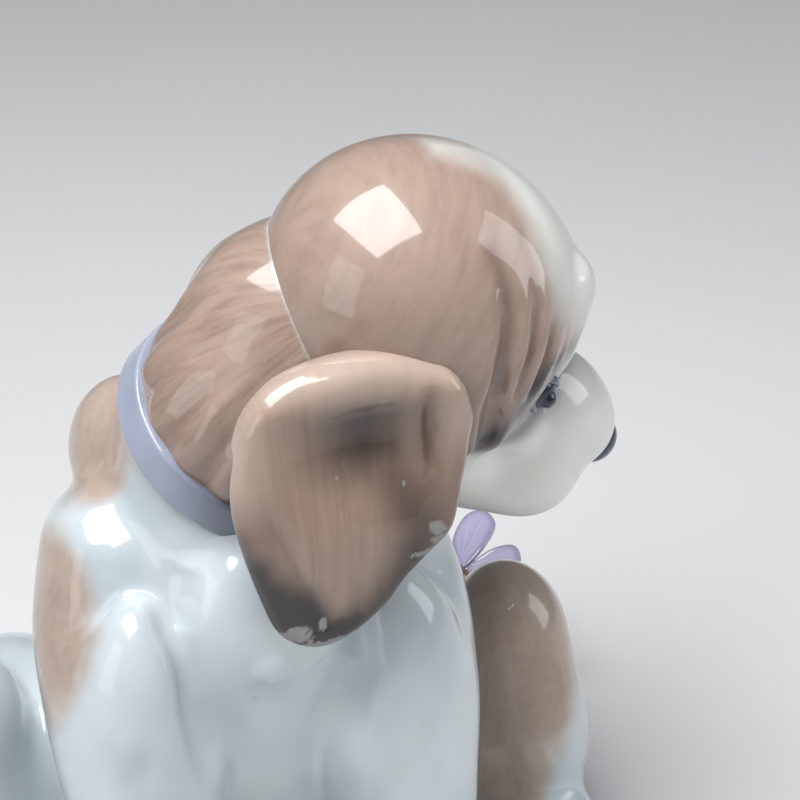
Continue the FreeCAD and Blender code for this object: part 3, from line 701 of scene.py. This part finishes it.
def paint_head(world):
    p = to_head(world)
    x, y, z = p.T
    across = np.degrees(np.arctan2(np.abs(y), z))
    half_blaze = spline(x, (-14.0, -3.0, 2.0, 6.0, 12.0, 20.0, 27.0),
                        (0.0, 13.0, 32.0, 44.0, 56.0, 62.0, 66.0))
    uneven = 3.0 * ripple(p, 12.0, 21, 2)
    brown = ramp(across - half_blaze + uneven, -15.0, 20.0)
    brown = np.maximum(brown, 1 - ramp(x, -15.0, -9.0))
    away, share = line_distance(np.stack([x, -np.abs(y), z], 1), CREASE)
    front = x - spline(z, (-24.0, -18.5, -13.0, -7.0, -1.6, 3.6, 7.0, 9.5),
                       (8.0, 12.0, 15.6, 16.6, 17.0, 18.2, 20.6, 24.0))
    brown = brown * (1 - ramp(front, -0.6, 1.2))
    brown = brown * (1 - ramp(-z + 0.35 * np.minimum(x, 4.0), 18.0, 23.0) * ramp(x, -6.0, 2.0))
    # Dark line along the crease under the brown cap: partly the painted eye line, partly painted
    # shade in the crease.
    crease_shade_and_eye_line = 0.96 * bump(away, 1.9) * np.sin(np.pi * np.clip(share, 0.05, 0.95)) ** 0.35
    # Painted shade in the eye socket.
    socket = 0.75 * bump(x - 20.5, 4.2) * bump(np.abs(y) - 14.0, 6.0) * bump(z + 4.0, 8.0)
    dark = np.maximum(crease_shade_and_eye_line, socket * ramp(front, -0.5, 1.5))
    brow = ramp(-z, -9.0, -3.0) * (1 - ramp(-z, 17.0, 22.0)) * ramp(x, 0.0, 8.0)
    # Painted shade along the lower edge of the brow.
    dark = np.maximum(dark, 0.88 * bump(front + 2.6, 2.1) * brow)
    # Painted shade on the cheek under the overhanging brow.
    under = bump(front - 9.8 - 0.36 * z, 2.6) * (1 - ramp(-z, 14.0, 19.0))
    dark = np.maximum(dark, 0.66 * under * brow)
    # Deeper brown towards the bottom of the head's sides, partly the glaze's own tone and partly
    # painted shade.
    deep = 0.55 * ramp(-z, -6.0, 16.0) * ramp(np.abs(y), 8.0, 20.0)
    # Painted shade in the wrinkles.
    for points, depth, width in WRINKLES:
        furrow, share = line_distance(np.stack([x, -np.abs(y), z], 1), points)
        deep = np.maximum(deep, 0.45 * depth * bump(furrow, 1.1 * width))
    return {"brown": brown, "deep": np.clip(deep, 0, 1), "dark": np.clip(dark, 0, 1),
            "chip": np.zeros(len(p)), "hair": np.stack([0.055 * x, 0.004 * across, 0 * x], 1)}


def paint_neck(p):
    along, around = round_neck(p)
    comb = locks(along, around)
    # Darker towards the collar, and painted shade in the grooves between the combed locks, where
    # the locks' waves push the skin in.
    low = 1 - ramp(along, 5.0, 20.0)
    deep = 0.35 * low + 0.30 * ramp(comb, 0.1, 1.0) * (1 - ramp(along, 12.0, 26.0))
    seam = bump(head_form(to_head(p)), 0.2) * ramp(along, 14.0, 20.0)
    return {"brown": 1 - 0.6 * seam, "deep": deep, "dark": np.zeros(len(p)),
            "chip": np.zeros(len(p)),
            "hair": np.stack([around * 1.1, along * 0.012, np.zeros(len(p))], 1)}


def paint_ear(p):
    u, v = p[:, 0], p[:, 1]
    uneven = ripple(p, 9.0, 31)
    # Dark brown over the hollow of the dish, partly painted colour and partly painted shade in the
    # hollow.
    dark = 0.84 * bump(u + 3.2, 9.2) * ramp(v, 8.5, 13.5) * (1 - ramp(v, 16.5, 28.0))
    band, share = line_distance(p[:, :2], EAR_SHADOW)
    dark = np.maximum(dark, (0.45 + 0.45 * ramp(share, 0.2, 0.6)) * bump(band, 4.4))
    dark = np.maximum(dark, 0.97 * ramp(v + 0.8 * uneven - 0.16 * u, 42.5, 48.0))
    corner = ramp(v - 0.86 * (u + 25.0) + 1.2 * uneven, 25.5, 33.5)
    dark = np.maximum(dark, 0.97 * corner * (1 - ramp(u - 0.35 * (v - 40.0), -13.5, -9.5)))
    chip = np.zeros(len(p))
    crumb = 0.35 * ripple(p, 2.2, 33)
    for (cu, cv), (ru, rv) in (((7.2, 32.6), (1.3, 1.5)), ((8.4, 34.6), (2.0, 0.9)),
                               ((6.4, 36.6), (3.4, 0.8)), ((-16.4, 47.0), (2.6, 1.5)),
                               ((-12.0, 45.6), (0.6, 1.2)), ((-7.0, 49.0), (5.0, 0.7)),
                               ((-14.0, 49.6), (4.0, 0.8))):
        near = np.sqrt(((u - cu) / ru) ** 2 + ((v - cv) / rv) ** 2)
        chip = np.maximum(chip, 1 - ramp(near + crumb, 0.92, 1.04))
    for (cu, cv) in ((-8.3, 21.5), (2.4, 24.6)):
        chip = np.maximum(chip, 1 - ramp(np.hypot(u - cu, v - cv), 0.22, 0.34))
    # Painted highlight: the top of the roll and the left and right edges are left pale where light
    # falls on them, partly the ear's own lighter paint.
    brown = 1 - 0.55 * (1 - ramp(v, 6.5, 11.5))
    brown = np.minimum(brown, 1 - 0.5 * bump(u + 23.0, 4.5) * (1 - ramp(v, 20.0, 30.0)))
    brown = np.minimum(brown, 1 - 0.4 * bump(u - 12.0, 3.0) * (1 - ramp(v, 14.0, 24.0)))
    # Painted shade in the groove inside the front rim, and over the lower flap, leaving its bulge
    # in the middle lighter.
    deep = 0.5 * bump(u - 6.8, 1.6) * ramp(v, 7.0, 11.0) * (1 - ramp(v, 20.0, 28.0))
    deep = np.maximum(deep, 0.6 * ramp(v, 14.0, 30.0) * ramp(np.abs(u + 9.0), 4.0, 12.0))
    fan = u + 0.010 * (v - 10.0) * (u + 12.0)
    return {"brown": brown, "deep": np.clip(deep, 0, 1), "dark": np.clip(dark, 0, 1),
            "chip": chip, "hair": np.stack([0.055 * fan, 0.004 * v, 0.0 * u], 1)}


# ---------------------------------------------------------------------------------------------
# Glazes
# ---------------------------------------------------------------------------------------------


class Tree:
    """Short calls for building a material's nodes."""

    def __init__(self, name):
        self.material = bpy.data.materials.new(name)
        self.material.use_nodes = True
        self.nodes = self.material.node_tree.nodes
        self.links = self.material.node_tree.links
        self.nodes.clear()

    def add(self, kind, settings=None, **inputs):
        node = self.nodes.new("ShaderNode" + kind)
        for key, value in (settings or {}).items():
            setattr(node, key, value)
        for key, value in inputs.items():
            socket = node.inputs[int(key[1:])] if key[0] == "_" else node.inputs[
                key.replace("_", " ")]
            if isinstance(value, bpy.types.NodeSocket):
                self.links.new(value, socket)
            else:
                socket.default_value = value
        return node

    def painted(self, name):
        return self.add("Attribute", {"attribute_name": name})

    def mix(self, factor, a, b):
        node = self.add("Mix", {"data_type": "RGBA"})
        for index, value in ((0, factor), (6, a), (7, b)):
            if isinstance(value, bpy.types.NodeSocket):
                self.links.new(value, node.inputs[index])
            else:
                node.inputs[index].default_value = value
        return node.outputs[2]

    def spread(self, value, low, high, to_low=0.0, to_high=1.0):
        node = self.add("MapRange", {"interpolation_type": "SMOOTHSTEP"}, _0=value, _1=low,
                        _2=high, _3=to_low, _4=to_high)
        return node.outputs[0]


def glaze(name, ground, shade, brown, deep, dark, streaks=0.3):
    """Painted porcelain under a clear gloss glaze, colours from the paint on the vertices, painted
    shade and painted highlights among them.
    """
    t = Tree(name)
    place = t.add("TexCoord").outputs["Object"]
    hair = t.painted("hair").outputs["Vector"]
    broad = t.add("TexNoise", Vector=place, Scale=38.0, Detail=2.0, Roughness=0.5).outputs[0]
    strands = t.add("TexNoise", Vector=hair, Scale=9.0, Detail=4.0, Roughness=0.62).outputs[0]
    coarse = t.add("TexNoise", Vector=hair, Scale=3.2, Detail=2.0, Roughness=0.5).outputs[0]
    base = t.mix(t.spread(broad, 0.36, 0.68), ground, shade)
    tan = t.mix(t.painted("deep").outputs["Fac"], brown, deep)
    tan = t.mix(t.spread(strands, 0.40, 0.70, 0.0, streaks), tan, deep)
    tan = t.mix(t.spread(coarse, 0.50, 0.78, 0.0, 0.8 * streaks), tan, deep)
    tan = t.mix(t.spread(strands, 0.30, 0.46, 0.5 * streaks, 0.0), tan, brown)
    colour = t.mix(t.painted("brown").outputs["Fac"], base, tan)
    colour = t.mix(t.painted("dark").outputs["Fac"], colour, dark)
    bare = t.painted("chip").outputs["Fac"]
    colour = t.mix(bare, colour, BISQUE)
    grain = t.add("TexNoise", Vector=place, Scale=900.0, Detail=2.0).outputs[0]
    drift = t.add("TexNoise", Vector=place, Scale=90.0, Detail=1.0).outputs[0]
    glossy = t.add("Bump", Strength=0.06, Distance=0.0006, Height=drift).outputs[0]
    rough = t.add("Bump", Strength=t.spread(bare, 0.3, 0.7, 0.0, 0.5), Distance=0.0004,
                  Height=grain, Normal=glossy).outputs[0]
    shader = t.add("BsdfPrincipled", Base_Color=colour,
                   Roughness=t.spread(bare, 0.3, 0.7, 0.34, 0.95),
                   Coat_Weight=t.spread(bare, 0.3, 0.7, 1.0, 0.0), Coat_Roughness=0.07,
                   Coat_IOR=1.5, IOR=1.45, Specular_IOR_Level=0.25, Subsurface_Weight=0.08,
                   Subsurface_Scale=0.002,
                   Normal=rough, Coat_Normal=glossy)
    t.add("OutputMaterial", Surface=shader.outputs[0])
    return t.material


# The deep and dark colours below also serve as painted shade, where the paint masks put them in
# creases, grooves, hollows and under the brow.
WHITE = (0.56, 0.615, 0.64, 1.0)
COOL_WHITE = (0.46, 0.525, 0.56, 1.0)
CREAM = (0.74, 0.74, 0.70, 1.0)
COOL_CREAM = (0.66, 0.68, 0.66, 1.0)
BISQUE = (0.27, 0.27, 0.27, 1.0)
BROWN = (0.36, 0.265, 0.215, 1.0)
LIGHT_BROWN = (0.42, 0.335, 0.28, 1.0)
DEEP_BROWN = (0.19, 0.125, 0.10, 1.0)
BLACK_BROWN = (0.014, 0.012, 0.014, 1.0)
# The ear's cream shows where the roll and edges are painted pale, partly as painted highlight.
EAR_CREAM = (0.58, 0.47, 0.40, 1.0)
COOL_EAR_CREAM = (0.52, 0.42, 0.36, 1.0)
EAR_BROWN = (0.34, 0.24, 0.185, 1.0)
DEEP_EAR_BROWN = (0.15, 0.10, 0.08, 1.0)
BLUE_BLACK = (0.012, 0.017, 0.032, 1.0)
LAVENDER = (0.34, 0.37, 0.47, 1.0)
DEEP_LAVENDER = (0.24, 0.265, 0.36, 1.0)


def plain_paint(p):
    none = np.zeros(len(p))
    return {"brown": none, "deep": none, "dark": none, "chip": none, "hair": p * 0.3}


# ---------------------------------------------------------------------------------------------
# The figurine
# ---------------------------------------------------------------------------------------------


EAR_PLACES = {"right_ear": (anchor("right_ear", 0.575, 0.922, 0.987), -1, 10.0),
              "left_ear": (anchor("left_ear", 0.622, -0.046, 0.979), 1, 16.0)}
INSECT_CENTRE = anchor("butterfly_body", 0.454, 0.636, 0.5)

white_glaze = glaze("white_glaze", WHITE, COOL_WHITE, LIGHT_BROWN, DEEP_BROWN, BLUE_BLACK, 0.15)
brown_glaze = glaze("brown_glaze", CREAM, COOL_CREAM, BROWN, DEEP_BROWN, BLUE_BLACK, 0.30)
neck_glaze = glaze("neck_brown_glaze", WHITE, COOL_WHITE, BROWN, DEEP_BROWN, BLUE_BLACK, 0.50)
ear_glaze = glaze("dark_brown_glaze", EAR_CREAM, COOL_EAR_CREAM, EAR_BROWN, DEEP_EAR_BROWN,
                  BLACK_BROWN, 0.28)
lavender_glaze = glaze("lavender_glaze", LAVENDER, DEEP_LAVENDER, LAVENDER, DEEP_LAVENDER,
                       BLUE_BLACK)
black_glaze = glaze("black_glaze", BLUE_BLACK, (0.03, 0.045, 0.09, 1.0), BLUE_BLACK, BLUE_BLACK,
                    BLUE_BLACK)
lid_glaze = glaze("eyelid_glaze", (0.17, 0.18, 0.23, 1.0), (0.09, 0.10, 0.14, 1.0), BROWN,
                  DEEP_BROWN, BLUE_BLACK)
insect_glaze = glaze("insect_brown_glaze", (0.16, 0.10, 0.07, 1.0), (0.10, 0.06, 0.045, 1.0),
                     DEEP_BROWN, DEEP_BROWN, BLACK_BROWN)
wing_glaze = glaze("wing_glaze", (0.50, 0.47, 0.62, 1.0), (0.38, 0.36, 0.55, 1.0), BROWN,
                   DEEP_BROWN, BLUE_BLACK)

body, body_faces = sculpt(body_form, (-68.0, -60.0, -1.2), (68.0, 68.0, 96.0), 0.8)
make_piece("puppy_body", body, body_faces,
           ("torso_shell", "right_foreleg", "left_foreleg", "right_hind_leg", "left_hind_leg",
            "tail"), white_glaze, paint_body(body))
neck, neck_faces = sculpt(neck_form, (-22.0, -26.0, 70.0), (48.0, 26.0, 128.0), 0.6)
make_piece("neck", neck, neck_faces, ("neck_shell",), neck_glaze,
           paint_neck(neck))
head, head_faces = sculpt(head_form, (-28.5, -27.5, -37.0), (50.0, 27.5, 27.0), 0.5)
head = from_head(head)
make_piece("head", head, head_faces, ("head_shell",), brown_glaze,
           paint_head(head))
nose, nose_faces = sculpt(nose_form, (39.0, -6.0, -16.0), (48.8, 6.0, -4.5), 0.3)
nose = from_head(nose)
make_piece("nose", nose, nose_faces, (), black_glaze, plain_paint(nose))
eye, eye_faces = sculpt(eye_form, (18.0, 5.0, -9.5), (27.5, 14.5, 0.5), 0.3)
lid, lid_faces = sculpt(lid_form, (17.0, 4.0, -10.0), (28.0, 15.0, 1.0), 0.3)
for name, side in (("left", 1), ("right", -1)):
    placed = from_head(eye * (1, side, 1))
    make_piece(name + "_eye", placed, eye_faces[:, ::side], (), black_glaze,
               plain_paint(placed))
    placed = from_head(lid * (1, side, 1))
    make_piece(name + "_eyelids", placed, lid_faces[:, ::side], (), lid_glaze,
               plain_paint(placed))

flap, flap_faces = sculpt(ear_form, (-27.0, -3.0, -6.0), (17.0, 53.0, 12.0), 0.4)
flap_paint = paint_ear(flap)
for name, (root, side, flare) in EAR_PLACES.items():
    outward = HEAD_AXES[1] * side
    flare = np.radians(flare)
    forward = np.array([np.cos(HEAD_TURN), np.sin(HEAD_TURN), 0.0])
    down = np.array([0.0, 0.0, -np.cos(flare)]) + outward * np.sin(flare)
    away = np.cross(down, forward) * -side
    placed = flap @ np.array([forward, down, away]) + root
    order = slice(None, None, 1 if side > 0 else -1)
    make_piece(name, placed, flap_faces[:, order], (name,), ear_glaze,
               flap_paint)

INSECT_TURN, WING_RAISE = np.radians(20.0), np.radians(26.0)
INSECT_AXES = np.array([(np.cos(INSECT_TURN), np.sin(INSECT_TURN), 0.0),
                        (-np.sin(INSECT_TURN), np.cos(INSECT_TURN), 0.0), (0.0, 0.0, 1.0)])
insect, insect_faces = sculpt(insect_body_form, (-2.0, -9.4, -2.0), (2.0, 5.4, 2.2), 0.2)
insect = insect @ INSECT_AXES + INSECT_CENTRE
make_piece("butterfly_body_skin", insect, insect_faces, ("butterfly_body",),
           insect_glaze, plain_paint(insect))
feelers, feeler_faces = sculpt(feelers_form, (-3.6, 3.6, 0.0), (3.6, 10.0, 5.0), 0.15)
feelers = feelers @ INSECT_AXES + INSECT_CENTRE
make_piece("butterfly_feelers", feelers, feeler_faces, ("butterfly_antennae",),
           insect_glaze, plain_paint(feelers))
for label, edge in WINGS.items():
    blade, blade_faces = sculpt(lambda p, e=edge: wing_form(p, e), (-1.0, -11.0, -1.6),
                                (13.5, 12.0, 0.9), 0.22)
    rim = outline_distance(blade[:, :2], edge)
    for name, side in ((f"butterfly_right_{label}_wing", 1), (f"butterfly_left_{label}_wing", -1)):
        across = np.array([side * np.cos(WING_RAISE), 0.0, np.sin(WING_RAISE)])
        along = np.array([0.0, 1.0, 0.0])
        rise = np.cross(across, along) * side
        placed = blade @ np.array([across, along, rise]) + (1.35 * side, 0.0, 0.75)
        placed = placed @ INSECT_AXES + INSECT_CENTRE
        paint = plain_paint(placed)
        paint["dark"] = 0.35 * ramp(rim, -1.6, -0.2)
        make_piece(name + "_skin", placed, blade_faces[:, ::side], (name,),
                   wing_glaze, paint)

band, band_faces = sculpt(collar_form, (-24.0, -26.0, 70.0), (27.0, 24.0, 110.0), 0.4)
band_paint = plain_paint(band)
# Painted shade: the band is painted darker towards +x, on its shaded side.
band_paint["dark"] = 0.72 * ramp(band[:, 0] - 0.5 * band[:, 1], -9.0, 9.0)
make_piece("collar", band, band_faces, ("collar_band",), lavender_glaze,
           band_paint)


# ---------------------------------------------------------------------------------------------
# Studio
# ---------------------------------------------------------------------------------------------


def aim(thing, target):
    way = Vector(target) - thing.location
    thing.rotation_euler = way.to_track_quat("-Z", "Y").to_euler()


def lamp(name, place, target, size, power, colour=(1.0, 1.0, 1.0)):
    light = bpy.data.lights.new(name, "AREA")
    light.shape, light.size, light.size_y = "RECTANGLE", size[0], size[1]
    light.energy, light.color = power, colour
    thing = bpy.data.objects.new(name, light)
    thing.location = place
    bpy.context.scene.collection.objects.link(thing)
    aim(thing, target)
    return thing


def make_floor():
    t = Tree("studio_floor")
    place = t.add("TexCoord").outputs["Object"]
    tone = t.add("TexNoise", Vector=place, Scale=6.0, Detail=2.0).outputs[0]
    colour = t.mix(tone, (0.62, 0.62, 0.63, 1.0), (0.66, 0.66, 0.66, 1.0))
    shader = t.add("BsdfPrincipled", Base_Color=colour, Roughness=0.7)
    t.add("OutputMaterial", Surface=shader.outputs[0])
    mesh = bpy.data.meshes.new("studio_floor")
    side = 3.0
    mesh.from_pydata([(-side, -side, 0), (side, -side, 0), (side, side, 0), (-side, side, 0)],
                     [], [(0, 1, 2, 3)])
    mesh.materials.append(t.material)
    floor = bpy.data.objects.new("studio_floor", mesh)
    floor.location = (0.0, 0.0, -0.0003)
    bpy.context.scene.collection.objects.link(floor)


make_floor()
centre = tuple(HEAD_CENTRE * MM)
lamp("softbox_over", (-0.14, -0.04, 0.56), centre, (0.44, 0.34), 4.4)
lamp("softbox_left", (-0.75, -0.35, 0.35), centre, (0.40, 0.60), 1.3, (0.93, 0.96, 1.0))
lamp("softbox_right", (0.72, -0.16, 0.46), centre, (0.40, 0.60), 2.2, (0.95, 0.97, 1.0))
fill = lamp("fill_front", (0.34, -0.85, 0.20), centre, (0.60, 0.50), 1.7, (1.0, 0.98, 0.95))
fill.visible_glossy = False
world = bpy.data.worlds.new("studio")
world.use_nodes = True
world.node_tree.nodes["Background"].inputs["Color"].default_value = (0.55, 0.58, 0.62, 1.0)
world.node_tree.nodes["Background"].inputs["Strength"].default_value = 0.20
bpy.context.scene.world = world
bpy.context.scene.view_settings.view_transform = "Standard"

camera_data = bpy.data.cameras.new("camera")
camera_data.sensor_width, camera_data.lens = 36.0, 118.1
camera_data.dof.use_dof = False
camera = bpy.data.objects.new("camera", camera_data)
camera.location = (-0.0695, -0.3630, 0.3068)
away = Vector((-0.224, -0.8365, 0.5)).normalized()
camera.rotation_euler = away.to_track_quat("Z", "Y").to_euler()
bpy.context.scene.collection.objects.link(camera)
bpy.context.scene.camera = camera
